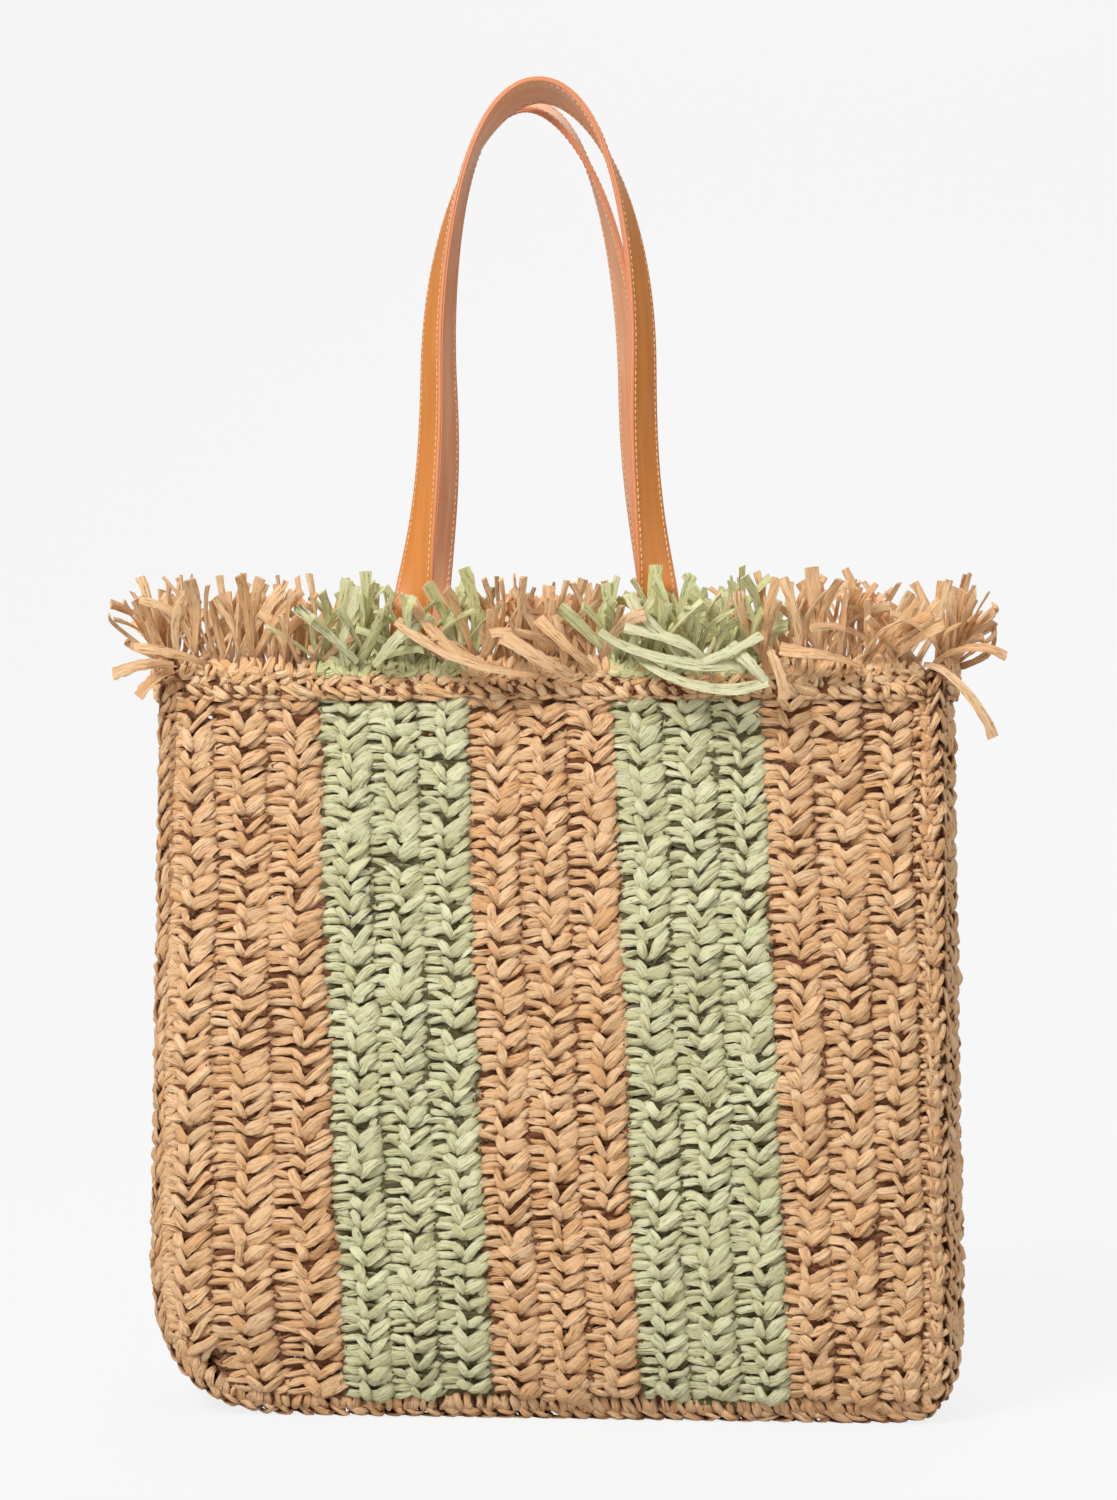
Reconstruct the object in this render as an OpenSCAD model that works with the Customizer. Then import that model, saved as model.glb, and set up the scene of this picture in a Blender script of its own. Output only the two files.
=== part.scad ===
// Crocheted straw beach bag with two leather handles.
// The front faces -Y. The origin is the middle of the base, on the surface that the bag stands on.

/* [Bag] */
// Half the width of a panel at the rim
panel_half_w = 191; // [165:1:205]
// How much further out each side stands at the base
low_spread = 4; // [0:1:8]
// Height of the rim's top edge
bag_h = 364; // [330:1:390]
// Distance between the front seam and the back seam
gusset_d = 76; // [70:1:86]
// How far a panel bellies out past its seam
panel_bulge = 24; // [14:1:28]
// Share of that belly that is left at the rim
rim_share = 0.42; // [0.36:0.02:0.6]
// How far a gusset bellies out sideways
gusset_bulge = 8; // [6:1:16]
// Run over which a panel rises from its seam
edge_run = 85; // [70:1:95]
// Squareness of the left bottom corner
left_corner = 3; // [3:0.5:8]
// Squareness of the right bottom corner
right_corner = 8; // [3:0.5:8]
// Thickness of the crocheted cloth
cloth_t = 7; // [5:0.5:8]

/* [Stripes] */
// Width of the middle stripe
middle_w = 71; // [60:1:80]
// Width of a green stripe
green_w = 72; // [60:1:76]
// Sideways place of the middle stripe at the rim
stripe_top_x = -5; // [-10:1:10]
// How far the stripes drift sideways from the rim to the base
stripe_lean = 15; // [0:1:18]

/* [Seams, rim and fringe] */
// Radius of the braided seam edging
seam_r = 4.5; // [3.5:0.1:4.6]
// Height of the rim band
rim_h = 15; // [10:1:18]
// Thickness of the rim band
rim_t = 9.5; // [8:0.5:10]
// Height of the fringe above the rim
fringe_h = 36; // [20:1:44]
// Distance between the fringe's knots
knot_pitch = 6; // [5:1:9]
// How far the fringe on the sides leans out
side_fringe_lean = 14; // [4:1:18]

/* [Handles] */
// Width of a strap
strap_w = 20; // [16:1:24]
// Thickness of one leather layer
leather_t = 1.45; // [1:0.05:1.6]
// Distance between the two ends of a handle
leg_gap = 124; // [100:1:130]
// Half the width of a handle where its arch starts
arch_half_w = 52; // [48:0.5:60]
// Height of the arch of a handle
arch_h = 137; // [110:1:150]
// Height of the handles above the rim
handle_rise = 289.5; // [260:0.5:310]
// How far each handle leans in at the top
handle_lean = 27; // [24:0.5:27.5]
// Sideways place of the handles
handle_x = -7; // [-12:1:12]
// How far a strap tips at the top of its arch
arch_tip = 25; // [0:1:30]
// How much lower the back handle is
back_drop = 3; // [0:1:10]
// How much narrower each half of the back handle's arch is
back_narrow = 4.5; // [0:0.5:6]
// How far the back handle leans to the left at the top
back_sway = 8; // [0:1:10]
// Length of a strap end sewn inside the bag
end_len = 46; // [30:1:60]
// Width of a sewing thread
thread_w = 0.9; // [0.6:0.1:1.2]

/* [Hidden] */
gap = 0.3;                                  // clearance between neighbouring pieces
glue = 0.05;                                // film between the two layers of a strap
half_d = gusset_d / 2;
seam_inset = seam_r + 0.1;                  // the edging lies just inside the outline
corner_clear = 2;                           // extra room between a panel's corner and the edging
panel_inset = seam_inset + seam_r + 2 * gap + corner_clear;
gusset_half = half_d - seam_r + 1;          // half the width of the gusset strip
panel_top = bag_h - rim_h - gap;
belly_z = 150;                              // the belly thins out above this height
stripe_off = [0, -middle_w / 2 - green_w, -middle_w / 2, middle_w / 2, middle_w / 2 + green_w, 0];

strap_t = 2 * leather_t + glue;
strap_y = half_d + 0.1;                     // middle of a strap at the rim, as a distance from the centre
root_z = bag_h + 2;                         // the free strap starts here
apex_z = bag_h + handle_rise - strap_t / 2;
hinge_y = half_d + 7;                       // a handle folds outwards about this line
hinge_z = bag_h + 6;
twist_z0 = bag_h + 29;                      // below this a strap lies flat to the panel
slow_turn = 62;                             // of its turn above that, the share spread over its height
stitch_in = 2.2;                            // distance of a stitch line from the strap's edge

panel_rows = 14;
stripe_cols = 4;
side_rows = 6;
corner_steps = 9;
gusset_cols = 4;
leg_steps = 14;
arch_steps = 12;

tan_straw = [0.80, 0.60, 0.42];
green_straw = [0.71, 0.74, 0.54];
leather = [0.83, 0.54, 0.32];
lining = [0.86, 0.66, 0.55];
thread = [0.93, 0.80, 0.66];

// ---- Form of the bag ----

function mix(a, b, t) = a + (b - a) * t;
function ease(t) = let (u = min(max(t, 0), 1)) u * u * (3 - 2 * u);

// Half width of the bag at a height
function side_x(z) = panel_half_w + low_spread * (1 - z / bag_h);

// How near a point of a panel is to the seam, 0 well inside and 1 on the seam
function nearness(x, z) =
    let (n = x < 0 ? left_corner : right_corner,
         a = max(1 - (side_x(z) - abs(x)) / edge_run, 0),
         b = max(1 - z / edge_run, 0))
    min(pow(pow(a, n) + pow(b, n), 1 / n), 1);

// Belly that is left at a height, as a share
function belly(z) = 1 - (1 - rim_share) * ease((z - belly_z) / (bag_h - belly_z));

// Distance of a panel's outer face from the middle of the bag
function panel_y(x, z) = half_d + panel_bulge * belly(z) * sqrt(1 - pow(nearness(x, z), 2));

// How far a panel reaches sideways at a height, for a corner of squareness n
function panel_reach(z, n) =
    let (r = edge_run - panel_inset, b = min(max((edge_run - z) / r, 0), 0.97))
    side_x(z) - edge_run + r * pow(1 - pow(b, n), 1 / n);

// The line between two stripes; lines 0 and 5 are the panel's own sides
function stripe_x(k, z) =
    k == 0 ? -panel_reach(z, left_corner) :
    k == 5 ? panel_reach(z, right_corner) :
    stripe_top_x + stripe_lean * (1 - z / bag_h) + stripe_off[k];

// The outline from the rim down one side and round its corner to the base, as [distance out, height]
function corner_point(turn, n) =
    let (r = pow(pow(cos(turn), n) + pow(sin(turn), n), -1 / n),
         z = edge_run * (1 - r * sin(turn)))
    [side_x(z) - edge_run * (1 - r * cos(turn)), z];
function side_path(n, top) = concat(
    [for (i = [0:side_rows - 1]) let (z = mix(top, edge_run, i / side_rows)) [side_x(z), z]],
    [for (i = [0:corner_steps]) corner_point(90 * i / corner_steps, n)]);

// Inward direction of a path that runs down and then under
function inward(p, i) =
    let (a = p[max(i - 1, 0)], b = p[min(i + 1, len(p) - 1)], d = (b - a) / norm(b - a))
    [d[1], -d[0]];

// ---- Solids from grids of points ----

// A closed slab between two grids of the same size
module slab(face, back) {
    nu = len(face);
    nv = len(face[0]);
    n = nu * nv;
    edge_a = [for (i = [0:nu - 2]) [i * nv, (i + 1) * nv]];
    edge_b = [for (j = [0:nv - 2]) [(nu - 1) * nv + j, (nu - 1) * nv + j + 1]];
    edge_c = [for (i = [nu - 1:-1:1]) [i * nv + nv - 1, (i - 1) * nv + nv - 1]];
    edge_d = [for (j = [nv - 1:-1:1]) [j, j - 1]];
    rim = concat(edge_a, edge_b, edge_c, edge_d);
    polyhedron(
        points = concat([for (r = face) each r], [for (r = back) each r]),
        faces = concat(
            [for (i = [0:nu - 2], j = [0:nv - 2]) each
                [[i * nv + j, (i + 1) * nv + j + 1, i * nv + j + 1],
                 [i * nv + j, (i + 1) * nv + j, (i + 1) * nv + j + 1]]],
            [for (i = [0:nu - 2], j = [0:nv - 2]) each
                [[n + i * nv + j, n + i * nv + j + 1, n + (i + 1) * nv + j + 1],
                 [n + i * nv + j, n + (i + 1) * nv + j + 1, n + (i + 1) * nv + j]]],
            [for (e = rim) each [[e[0], n + e[0], n + e[1]], [e[0], n + e[1], e[1]]]]));
}

// A tube of eight sides along a line in the XZ plane, at a distance y in front
module tube(path, y, r) {
    n = len(path);
    m = 8;
    points = [for (i = [0:n - 1]) let (d = inward(path, i)) each
        [for (k = [0:m - 1]) let (a = 360 * (k + 0.5) / m)
            [path[i][0] + d[0] * r * cos(a), y + r * sin(a), path[i][1] + d[1] * r * cos(a)]]];
    polyhedron(
        points = points,
        faces = concat(
            [for (k = [1:m - 2]) [0, k + 1, k]],
            [for (i = [0:n - 2], k = [0:m - 1]) let (a = i * m + k, b = i * m + (k + 1) % m) each
                [[a, b, b + m], [a, b + m, a + m]]],
            [for (k = [1:m - 2]) [(n - 1) * m, (n - 1) * m + k, (n - 1) * m + k + 1]]));
}

// ---- Panels, gussets and base ----

// One stripe of a panel, between lines k and k + 1
module stripe(k, shade) {
    rows = [for (i = [0:panel_rows]) mix(panel_inset, panel_top, pow(i / panel_rows, 1.4))];
    function at(z, j) = mix(stripe_x(k, z) + gap / 2, stripe_x(k + 1, z) - gap / 2, j / stripe_cols);
    face = [for (z = rows) [for (j = [0:stripe_cols]) let (x = at(z, j)) [x, -panel_y(x, z), z]]];
    inside = [for (r = face) [for (p = r) p + [0, cloth_t, 0]]];
    color(shade) slab(face, inside);
}

module front_tan_left() stripe(0, tan_straw);
module front_green_left() stripe(1, green_straw);
module front_tan_middle() stripe(2, tan_straw);
module front_green_right() stripe(3, green_straw);
module front_tan_right() stripe(4, tan_straw);
module back_tan_left() mirror([0, 1, 0]) stripe(0, tan_straw);
module back_green_left() mirror([0, 1, 0]) stripe(1, green_straw);
module back_tan_middle() mirror([0, 1, 0]) stripe(2, tan_straw);
module back_green_right() mirror([0, 1, 0]) stripe(3, green_straw);
module back_tan_right() mirror([0, 1, 0]) stripe(4, tan_straw);

// Sideways belly of a gusset at a height
function gusset_belly(z) =
    gusset_bulge * (z > edge_run
        ? 1 - 0.2 * (z - edge_run) / (bag_h - edge_run)
        : sqrt(1 - pow(1 - z / edge_run, 2)));

// A crocheted strip down the right side; outer face first, then its inner face
function gusset_face(path, inset) =
    [for (i = [0:len(path) - 1]) let (d = inward(path, i)) [for (j = [0:gusset_cols])
        let (v = 2 * j / gusset_cols - 1, out = gusset_belly(path[i][1]) * (1 - v * v))
        [path[i][0] + out + d[0] * inset, v * gusset_half, path[i][1] + d[1] * inset]]];
module gusset(n) {
    path = side_path(n, panel_top);
    color(tan_straw) slab(gusset_face(path, cloth_t), gusset_face(path, 0));
}

module gusset_right() gusset(right_corner);
module gusset_left() mirror([1, 0, 0]) gusset(left_corner);

module base() {
    reach = side_x(0) - edge_run - gap;
    color(tan_straw) translate([-reach, -gusset_half, 0]) cube([2 * reach, 2 * gusset_half, cloth_t]);
}

// ---- Seam edging and rim ----

// The outline of a panel drawn in by the edging's inset, from the left rim round to the right rim
function inset_side(n) =
    let (p = side_path(n, bag_h))
    [for (i = [0:len(p) - 1]) p[i] + inward(p, i) * seam_inset];
seam_path = concat(
    [for (p = inset_side(left_corner)) [-p[0], p[1]]],
    [for (i = [0:len(inset_side(right_corner)) - 1])
        inset_side(right_corner)[len(inset_side(right_corner)) - 1 - i]]);

module seam() color(tan_straw) tube(seam_path, -half_d - 1.5, seam_r);
module seam_front() seam();
module seam_back() mirror([0, 1, 0]) seam();

module long_rim() {
    steps = 16;
    reach = side_x(bag_h) - panel_inset;
    function ring(z, y) = [for (i = [0:steps]) let (x = mix(-reach, reach, i / steps))
        [x, y - panel_y(x, z), z]];
    bottom = bag_h - rim_h;
    color(tan_straw) slab(
        [ring(bottom, -1.5), ring(bag_h, -1.5)],
        [ring(bottom, rim_t - 1.5), ring(bag_h, rim_t - 1.5)]);
}
module rim_front() long_rim();
module rim_back() mirror([0, 1, 0]) long_rim();

module short_rim() {
    path = [[side_x(bag_h), bag_h], [side_x(bag_h - rim_h), bag_h - rim_h]];
    color(tan_straw) slab(gusset_face(path, rim_t - 1.5), gusset_face(path, -1.5));
}
module rim_right() short_rim();
module rim_left() mirror([1, 0, 0]) short_rim();

// ---- Fringe ----

// Height of the fringe at the i-th knot
function strand_top(i) = bag_h + fringe_h * (i % 2 == 0 ? 0.6 : 1);

module long_fringe(k, shade) {
    reach = side_x(bag_h) - panel_inset;
    left = max(stripe_x(k, bag_h), -reach) + gap;
    right = min(stripe_x(k + 1, bag_h), reach) - gap;
    n = round((right - left) / knot_pitch);
    foot = bag_h + gap;
    function ring(y, top) = [for (i = [0:n]) let (x = mix(left, right, i / n))
        [x, y - panel_y(x, bag_h), top ? strand_top(i) : foot]];
    color(shade) slab([ring(0, false), ring(2, true)], [ring(5, false), ring(3.5, true)]);
}
module fringe_front_tan_left() long_fringe(0, tan_straw);
module fringe_front_green_left() long_fringe(1, green_straw);
module fringe_front_tan_middle() long_fringe(2, tan_straw);
module fringe_front_green_right() long_fringe(3, green_straw);
module fringe_front_tan_right() long_fringe(4, tan_straw);
module fringe_back_tan_left() mirror([0, 1, 0]) long_fringe(0, tan_straw);
module fringe_back_green_left() mirror([0, 1, 0]) long_fringe(1, green_straw);
module fringe_back_tan_middle() mirror([0, 1, 0]) long_fringe(2, tan_straw);
module fringe_back_green_right() mirror([0, 1, 0]) long_fringe(3, green_straw);
module fringe_back_tan_right() mirror([0, 1, 0]) long_fringe(4, tan_straw);

module side_fringe() {
    n = 2 * round(gusset_half / knot_pitch);
    function belly_out(v) = side_x(bag_h) + gusset_belly(bag_h) * (1 - v * v);
    function row(out, top) = [for (i = [0:n]) let (v = 2 * i / n - 1)
        [belly_out(v) + out, v * gusset_half, top ? strand_top(i) : bag_h + gap]];
    color(tan_straw) slab(
        [row(0, false), row(side_fringe_lean, true)],
        [row(-5, false), row(side_fringe_lean - 1.5, true)]);
}
module fringe_right() mirror([0, 1, 0]) side_fringe();
module fringe_left() rotate([0, 0, 180]) side_fringe();

// ---- Handles ----

// How far a strap has turned away from the arch, 90 where it lies flat to the panel. It turns fast at first,
// and ends tipped the other way at the top.
function twist(z, top) =
    let (t = min(max((z - twist_z0) / (top - twist_z0), 0), 1))
    (90 + arch_tip - slow_turn) * pow(1 - t, 10) + slow_turn * (1 - pow(t, 4)) - arch_tip;

function handle_top(back) = apex_z - (back ? back_drop : 0);

// Middle line of a handle in the XZ plane, from its left end over the arch to its right end
function leg_x(z, spring_z, half) =
    let (t = min(max((z - root_z) / (spring_z - root_z), 0), 1))
    mix(half, leg_gap / 2, pow(1 - t, 3) * (1 + 3 * t));
function handle_line(back) =
    let (top = handle_top(back),
         half = arch_half_w - (back ? back_narrow : 0),
         sway = back ? back_sway / (top - root_z) : 0,
         spring_z = top - arch_h,
         left = [for (i = [0:leg_steps - 1]) let (z = mix(root_z, spring_z, i / leg_steps))
             [-leg_x(z, spring_z, half), z]],
         arch = [for (i = [0:arch_steps]) let (a = 180 - 180 * i / arch_steps)
             [half * cos(a), spring_z + arch_h * sin(a)]],
         right = [for (i = [leg_steps - 1:-1:0]) [-left[i][0], left[i][1]]])
    [for (p = concat(left, arch, right)) [p[0] + sway * (p[1] - root_z), p[1]]];

// For each point of the line: [point, outward normal, direction across the strap]
function handle_frames(back) =
    let (line = handle_line(back), top = handle_top(back))
    [for (i = [0:len(line) - 1])
        let (p = line[i],
             d = i == 0 ? [0, 1] : i == len(line) - 1 ? [0, -1] : line[i + 1] - line[i - 1],
             lean = handle_lean / (top - root_z),
             t = let (v = [d[0], lean * d[1], d[1]]) v / norm(v),
             out = let (v = [-d[1], 0, d[0]]) v / norm(v),
             side = let (v = cross(t, out)) v / norm(v),
             a = twist(p[1], top) * (i < len(line) / 2 ? 1 : -1) * (side[1] < 0 ? 1 : -1),
             normal = (i < len(line) / 2)
                 ? out * cos(a) + side * sin(a)
                 : out * cos(a) - side * sin(a))
        [[p[0], -strap_y + lean * (p[1] - root_z), p[1]], normal, cross(t, normal)]];

// A layer of a strap: from across0 to across1 over its width, from out0 to out1 through its thickness
module strap_layer(back, across0, across1, out0, out1) {
    f = handle_frames(back);
    function sheet(out) = [for (q = f)
        [q[0] + q[2] * across0 + q[1] * out, q[0] + q[2] * across1 + q[1] * out]];
    slab(sheet(out1), sheet(out0));
}

module handle_leather(back) color(leather)
    strap_layer(back, -strap_w / 2, strap_w / 2, glue / 2, strap_t / 2);
module handle_lining(back) color(lining)
    strap_layer(back, -strap_w / 2, strap_w / 2, -strap_t / 2, -glue / 2);
module handle_stitching(back) color(thread)
    for (edge = [-1, 1], face = [-1, 1]) {
        across = edge * (strap_w / 2 - stitch_in);
        low = strap_t / 2 + glue;
        high = low + thread_w / 2;
        strap_layer(back, across - thread_w / 2, across + thread_w / 2,
            face > 0 ? low : -high, face > 0 ? high : -low);
    }

module at_front() translate([handle_x, 0, 0]) children();
module at_back() translate([handle_x, 0, 0]) rotate([0, 0, 180]) children();
module front_handle_leather() at_front() handle_leather(false);
module front_handle_lining() at_front() handle_lining(false);
module front_handle_stitching() at_front() handle_stitching(false);
module back_handle_leather() at_back() handle_leather(true);
module back_handle_lining() at_back() handle_lining(true);
module back_handle_stitching() at_back() handle_stitching(true);

// The end of a strap inside the bag, with two rounded corners, on the side given by -1 or 1
module strap_end(side) {
    corner = 4;
    top = root_z - gap;
    bottom = top - end_len;
    color(leather)
        translate([side * leg_gap / 2, -strap_y + strap_t / 2, 0]) rotate([90, 0, 0])
            linear_extrude(strap_t) union() {
                translate([-strap_w / 2, bottom + corner]) square([strap_w, end_len - corner]);
                translate([-strap_w / 2 + corner, bottom]) square([strap_w - 2 * corner, corner]);
                for (x = [-1, 1])
                    translate([x * (strap_w / 2 - corner), bottom + corner]) circle(corner, $fn = 32);
            }
}
// A box of stitching that holds a strap end to the panel
module end_stitching(side) {
    box_w = strap_w - 2 * stitch_in;
    box_h = 26;
    foot = root_z - gap - end_len + stitch_in;
    color(thread)
        translate([side * leg_gap / 2, -strap_y + strap_t / 2 + glue + thread_w / 2, 0]) rotate([90, 0, 0])
            linear_extrude(thread_w / 2) difference() {
                translate([-box_w / 2, foot]) square([box_w, box_h]);
                translate([-box_w / 2 + thread_w, foot + thread_w])
                    square([box_w - 2 * thread_w, box_h - 2 * thread_w]);
            }
}
module front_left_strap_end() at_front() strap_end(-1);
module front_right_strap_end() at_front() strap_end(1);
module back_left_strap_end() at_back() strap_end(1);
module back_right_strap_end() at_back() strap_end(-1);
module front_left_end_stitching() at_front() end_stitching(-1);
module front_right_end_stitching() at_front() end_stitching(1);
module back_left_end_stitching() at_back() end_stitching(1);
module back_right_end_stitching() at_back() end_stitching(-1);

front_tan_left();
front_green_left();
front_tan_middle();
front_green_right();
front_tan_right();
back_tan_left();
back_green_left();
back_tan_middle();
back_green_right();
back_tan_right();
gusset_left();
gusset_right();
base();
seam_front();
seam_back();
rim_front();
rim_back();
rim_left();
rim_right();
fringe_front_tan_left();
fringe_front_green_left();
fringe_front_tan_middle();
fringe_front_green_right();
fringe_front_tan_right();
fringe_back_tan_left();
fringe_back_green_left();
fringe_back_tan_middle();
fringe_back_green_right();
fringe_back_tan_right();
fringe_left();
fringe_right();
front_left_strap_end();
front_right_strap_end();
back_left_strap_end();
back_right_strap_end();
front_left_end_stitching();
front_right_end_stitching();
back_left_end_stitching();
back_right_end_stitching();
front_handle_leather();
front_handle_lining();
front_handle_stitching();
back_handle_leather();
back_handle_lining();
back_handle_stitching();
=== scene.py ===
import math

import bpy
import numpy as np
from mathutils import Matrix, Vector


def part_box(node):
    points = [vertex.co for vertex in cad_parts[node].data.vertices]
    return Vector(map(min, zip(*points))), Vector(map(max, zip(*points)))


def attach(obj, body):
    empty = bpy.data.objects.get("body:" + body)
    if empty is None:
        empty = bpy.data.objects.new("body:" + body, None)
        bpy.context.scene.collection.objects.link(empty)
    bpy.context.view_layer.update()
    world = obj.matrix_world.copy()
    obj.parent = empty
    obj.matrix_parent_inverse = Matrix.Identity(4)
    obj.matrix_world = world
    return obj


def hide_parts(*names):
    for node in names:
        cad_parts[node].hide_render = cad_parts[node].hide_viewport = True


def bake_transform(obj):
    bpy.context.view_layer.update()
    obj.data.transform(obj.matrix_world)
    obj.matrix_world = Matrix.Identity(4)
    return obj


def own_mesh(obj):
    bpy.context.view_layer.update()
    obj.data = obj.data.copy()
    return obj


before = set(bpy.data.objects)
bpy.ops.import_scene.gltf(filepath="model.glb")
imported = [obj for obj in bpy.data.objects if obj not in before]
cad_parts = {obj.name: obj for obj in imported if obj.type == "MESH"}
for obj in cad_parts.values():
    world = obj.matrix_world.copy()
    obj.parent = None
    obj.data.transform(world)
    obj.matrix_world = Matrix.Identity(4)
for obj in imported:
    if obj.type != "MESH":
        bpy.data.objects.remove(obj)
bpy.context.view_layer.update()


# ---- Camera, floor and studio light ----
# The bag stands on a pale paper sweep. The camera is level, at half the height of the bag with its handles
# up, and a few degrees to the right of its front. A soft key light hangs high on the left.
view_turn = math.radians(4.0)
view_distance = 1.6
view_height = 0.325
aim_x = 0.0018
camera_data = bpy.data.cameras.new("camera")
camera_data.lens = 77.0
camera = bpy.data.objects.new("camera", camera_data)
across_view, along_view = math.sin(view_turn), math.cos(view_turn)
camera.location = (aim_x + view_distance * across_view, -view_distance * along_view, view_height)
camera.rotation_euler = (math.radians(90), 0, view_turn)
bpy.context.scene.collection.objects.link(camera)
bpy.context.scene.camera = camera
bpy.context.scene.view_settings.view_transform = "Standard"


class Sock:
    """A node socket that takes part in sums, so that shader maths reads as plain expressions."""

    def __init__(self, tree, socket=None):
        self.tree = tree
        self.socket = socket

    def node(self, kind, settings=None, out=0, **sockets):
        """Adds a node: its settings, then the values or links of its sockets, by label or as i0, i1."""
        made = self.tree.nodes.new("ShaderNode" + kind)
        for key, value in (settings or {}).items():
            setattr(made, key, value)
        for key, value in sockets.items():
            number = key[1:]
            target = made.inputs[int(number)] if number.isdigit() else made.inputs[key.replace("_", " ")]
            if isinstance(value, Sock):
                self.tree.links.new(value.socket, target)
            else:
                target.default_value = value
        return Sock(self.tree, made.outputs[out])

    def sum_of(self, operation, first, second):
        return self.node("Math", {"operation": operation}, i0=first, i1=second)

    def __add__(self, other):
        return self.sum_of("ADD", self, other)

    def __radd__(self, other):
        return self.sum_of("ADD", other, self)

    def __sub__(self, other):
        return self.sum_of("SUBTRACT", self, other)

    def __rsub__(self, other):
        return self.sum_of("SUBTRACT", other, self)

    def __mul__(self, other):
        return self.sum_of("MULTIPLY", self, other)

    def __rmul__(self, other):
        return self.sum_of("MULTIPLY", other, self)

    def mix(self, low, high):
        """The colour low where this is 0, and the colour high where it is 1."""
        return self.node("Mix", {"data_type": "RGBA"}, out=2, i0=self, i6=low, i7=high)

    def step(self, low, high):
        """0 below low, 1 above high, and smooth between."""
        smooth = {"interpolation_type": "SMOOTHSTEP"}
        return self.node("MapRange", smooth, Value=self, From_Min=low, From_Max=high)

    def into(self, node, name):
        """Links this into an input of a shader."""
        self.tree.links.new(self.socket, node.inputs[name])


def rgb(red, green, blue):
    """A colour as a screen shows it, 0 to 255, for a shader."""
    screen = [c / 255 for c in (red, green, blue)]
    return (*[c / 12.92 if c <= 0.04045 else ((c + 0.055) / 1.055) ** 2.4 for c in screen], 1.0)


def new_material(name, **sockets):
    """A material with its shader, some of the shader's sockets set, and a Sock to start sums from."""
    made = bpy.data.materials.new(name)
    made.use_nodes = True
    shader = made.node_tree.nodes["Principled BSDF"]
    for key, value in sockets.items():
        shader.inputs[key.replace("_", " ")].default_value = value
    return made, shader, Sock(made.node_tree)


def sweep_mesh():
    """A floor that curves up into a wall behind the bag."""
    half, near, back, bend, top = 30.0, -30.0, 3.0, 1.2, 5.0
    curve = [(back - bend + bend * math.sin(a), bend - bend * math.cos(a))
             for a in np.linspace(0, math.pi / 2, 17)]
    profile = [(near, 0.0), *curve, (back, top)]
    points = [(x, y, z) for y, z in profile for x in (-half, half)]
    faces = [(2 * i, 2 * i + 1, 2 * i + 3, 2 * i + 2) for i in range(len(profile) - 1)]
    mesh = bpy.data.meshes.new("paper_sweep")
    mesh.from_pydata(points, [], faces)
    mesh.shade_smooth()
    return mesh


# The paper shows mostly as an even pale tone, with part of the real shading so that the bag's shadow stays.
paper_glow = 1.04
paper_evenness = 0.80
sweep = bpy.data.objects.new("paper_sweep", sweep_mesh())
bpy.context.scene.collection.objects.link(sweep)
paper, paper_shader, start = new_material("paper", Base_Color=rgb(190, 190, 190), Roughness=0.9)
paper_shader.inputs["Specular IOR Level"].default_value = 0.1
seen = start.node("LightPath")
glow = start.node("Emission", Color=(1.0, 1.0, 1.0, 1.0), Strength=paper_glow)
shaded = Sock(paper.node_tree, paper_shader.outputs[0])
paper_mix = start.node("MixShader", Fac=seen * paper_evenness, i1=shaded, i2=glow)
paper_mix.into(paper.node_tree.nodes["Material Output"], "Surface")
sweep.data.materials.append(paper)


def soft_light(name, size, power, place):
    """A square soft box that faces the bag."""
    data = bpy.data.lights.new(name, "AREA")
    data.size = size
    data.energy = power
    lamp = bpy.data.objects.new(name, data)
    lamp.location = place
    lamp.rotation_euler = (Vector(place) - Vector((0, 0, 0.3))).to_track_quat("Z", "Y").to_euler()
    bpy.context.scene.collection.objects.link(lamp)


soft_light("key", 0.9, 76.0, (-1.3, -2.1, 2.4))
soft_light("fill", 2.2, 15.0, (2.3, -1.8, 1.7))
soft_light("back_glow", 2.0, 30.0, (0.4, 2.2, 2.6))

# A plain white glow all round fills the shadows, and is stronger where the camera looks straight at it.
sky_light = 0.46
sky_seen = 0.43
world = bpy.data.worlds.new("studio")
bpy.context.scene.world = world
world.use_nodes = True
sky = world.node_tree.nodes["Background"]
sky.inputs["Color"].default_value = (1.0, 1.0, 1.0, 1.0)
start = Sock(world.node_tree)
(start.node("LightPath") * sky_seen + sky_light).into(sky, "Strength")


# ---- Front and back panels ----
# Each panel is five upright stripes of crochet, tan and green in turn, worked in ribbon of paper straw.
# A stripe is three columns of stitches. In each stitch the ribbon shows as two short bars, a pointed wedge,
# and a fat and a thin leaf that rise to the right.
rim_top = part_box("rim_front")[1].z
panel_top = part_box("front_tan_middle")[1].z + 0.003
half_depth = 0.038             # from the middle of the bag to a seam
side_at_rim = 0.191            # half the width at the rim
side_spread = 0.004            # and this much more at the base
belly = 0.024                  # how far a panel stands out past its seams
belly_at_rim = 0.42            # the share of it left at the rim
belly_start = 0.150            # it thins out above this height
corner_run = 0.085             # a panel rises from its seam over this run
corner_power = (3.0, 8.0)      # squareness of the left and the right bottom corner
cloth = 0.007                  # thickness of the cloth
fold_left = (-0.158, 0.030)    # the cloth sinks in a soft fold above the left bottom corner, from here
fold_right = (-0.115, 0.022)   # to here
fold_depth = 0.005
fold_reach = 0.009
stripe_lines = (-0.1075, -0.0355, 0.0355, 0.1075)
stripe_shift = -0.005          # sideways place of the stripes at the rim
stripe_lean = 0.015            # and how far they drift by the base
stitch_pitch = 0.0086
crumple = 0.09                 # how unevenly a ribbon is crushed along its length
ground_gap = 0.0003            # no ribbon goes lower than this
seed = np.random.default_rng(7)


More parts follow.
